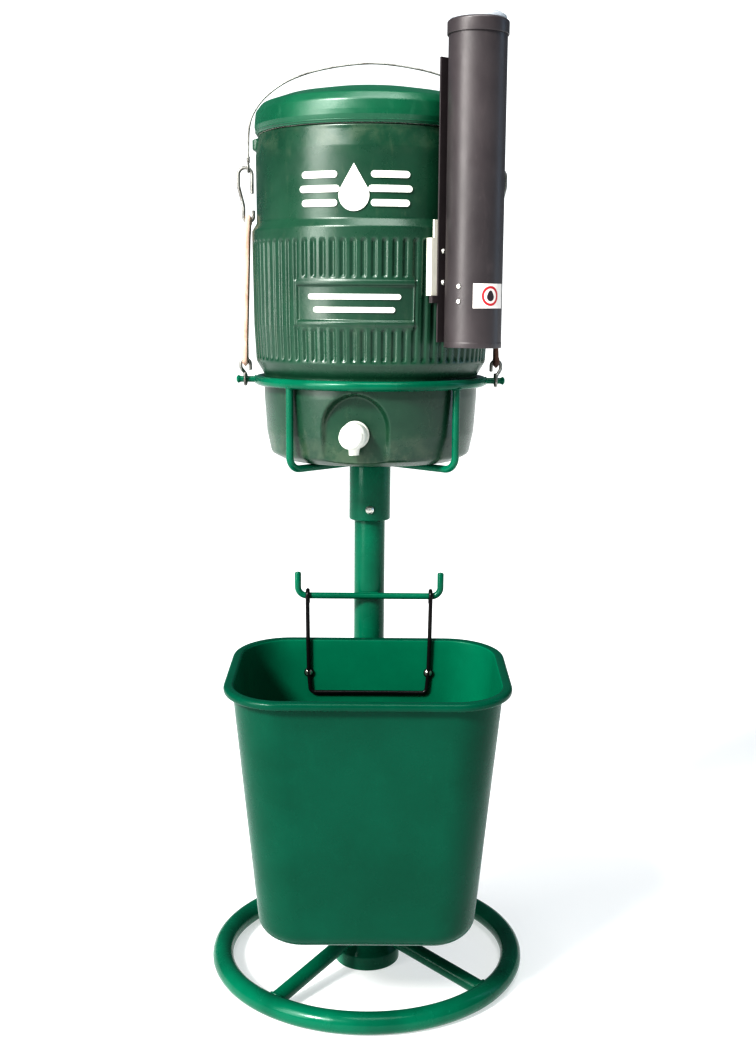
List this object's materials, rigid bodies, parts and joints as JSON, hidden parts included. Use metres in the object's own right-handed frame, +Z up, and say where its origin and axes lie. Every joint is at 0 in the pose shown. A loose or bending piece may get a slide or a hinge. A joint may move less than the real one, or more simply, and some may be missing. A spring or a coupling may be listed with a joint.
{
  "type": "outdoor drinking water station",
  "caption": "Insulated water cooler with push-button tap on a ring-based tube pedestal, with lid hold-down straps, cup tube and a hanging litter bin.",
  "frame": {"origin": "centre of the base hub's underside on the floor, on the pole axis", "axes": "+Z up, -Y the front with the tap and the bin"},
  "size_m": [0.4466, 0.5079, 1.2835],
  "materials": {
    "stand_paint": "glossy green powder coat",
    "cooler_green": "satin moulded polyethylene",
    "lid_green": "satin moulded polyethylene",
    "liner_white": "smooth food-grade plastic",
    "foam": "rigid insulating foam",
    "tap_white": "glossy white plastic",
    "rubber_dark": "matt black rubber",
    "strap_rubber": "weathered pale rubber",
    "galvanised": "galvanised wire",
    "zinc": "zinc-plated fastener",
    "charcoal": "charcoal satin plastic",
    "cap_grey": "pale smooth plastic",
    "print_white": "white moulded marking",
    "spacer_white": "white plastic",
    "label": "printed label",
    "bin_green": "semi-gloss green plastic",
    "hanger_black": "black coated wire"
  },
  "bodies": {
    "stand": {"base_ring": "stand_paint", "base_hub": "stand_paint", "base_spokes": "stand_paint", "pole": "stand_paint", "cradle_sleeve": "stand_paint", "sleeve_bolt": "zinc", "sleeve_nut": "zinc", "cradle_ring": "stand_paint", "cradle_legs": "stand_paint", "tie_pegs": "stand_paint", "bin_bar": "stand_paint", "cooler_shell": "cooler_green", "cooler_liner": "liner_white", "cooler_foam": "foam", "front_emblem": "print_white", "panel_stripes": "print_white", "tap_gasket": "rubber_dark", "tap_body": "tap_white", "tap_nut": "tap_white", "tap_liner_washer": "rubber_dark", "upper_hooks": "galvanised", "lower_hooks": "galvanised", "strap_right": "strap_rubber", "strap_left": "strap_rubber", "tube_screws": "zinc", "cup_tube": "charcoal", "cup_throat": "charcoal", "cup_plate": "charcoal", "plate_screws": "zinc", "cup_spacer": "spacer_white", "tube_label": "label"},
    "lid": {"lid_shell": "lid_green", "lid_liner": "liner_white", "lid_foam": "foam", "lid_gasket": "rubber_dark"},
    "hold_down": {"hold_down_wire": "galvanised"},
    "tap_push": {"tap_button": "tap_white", "tap_stem": "tap_white", "tap_seal": "rubber_dark", "tap_spring": "galvanised"},
    "cup_lid": {"cup_cap": "charcoal", "cap_disc": "cap_grey"},
    "bin_unit": {"bin": "bin_green", "bin_hanger": "hanger_black", "bin_screws": "zinc", "bin_nuts": "zinc"}
  },
  "joints": [
    {"name": "lid_turn", "type": "hinge", "parent": "stand", "child": "lid", "pos_m": [0, 0, 1.16], "axis": [0, 0, 1], "range_deg": [-180, 180]},
    {"name": "hold_down_tip", "type": "hinge", "parent": "stand", "child": "hold_down", "pos_m": [0, 0, 1.1172], "axis": [1, 0, 0], "range_deg": [-18, 18]},
    {"name": "tap_push", "type": "slide", "parent": "stand", "child": "tap_push", "axis": [0.1392, 0.9903, 0], "range_m": [0, 0.005], "stiffness_N_per_m": 800, "springref_m": -0.004},
    {"name": "cup_cap_lift", "type": "slide", "parent": "stand", "child": "cup_lid", "axis": [0, 0, 1], "range_m": [0, 0.06]},
    {"name": "bin_swing", "type": "hinge", "parent": "stand", "child": "bin_unit", "pos_m": [0, -0.02545, 0.5447], "axis": [-1, 0, 0], "range_deg": [0, 30]}
  ]
}
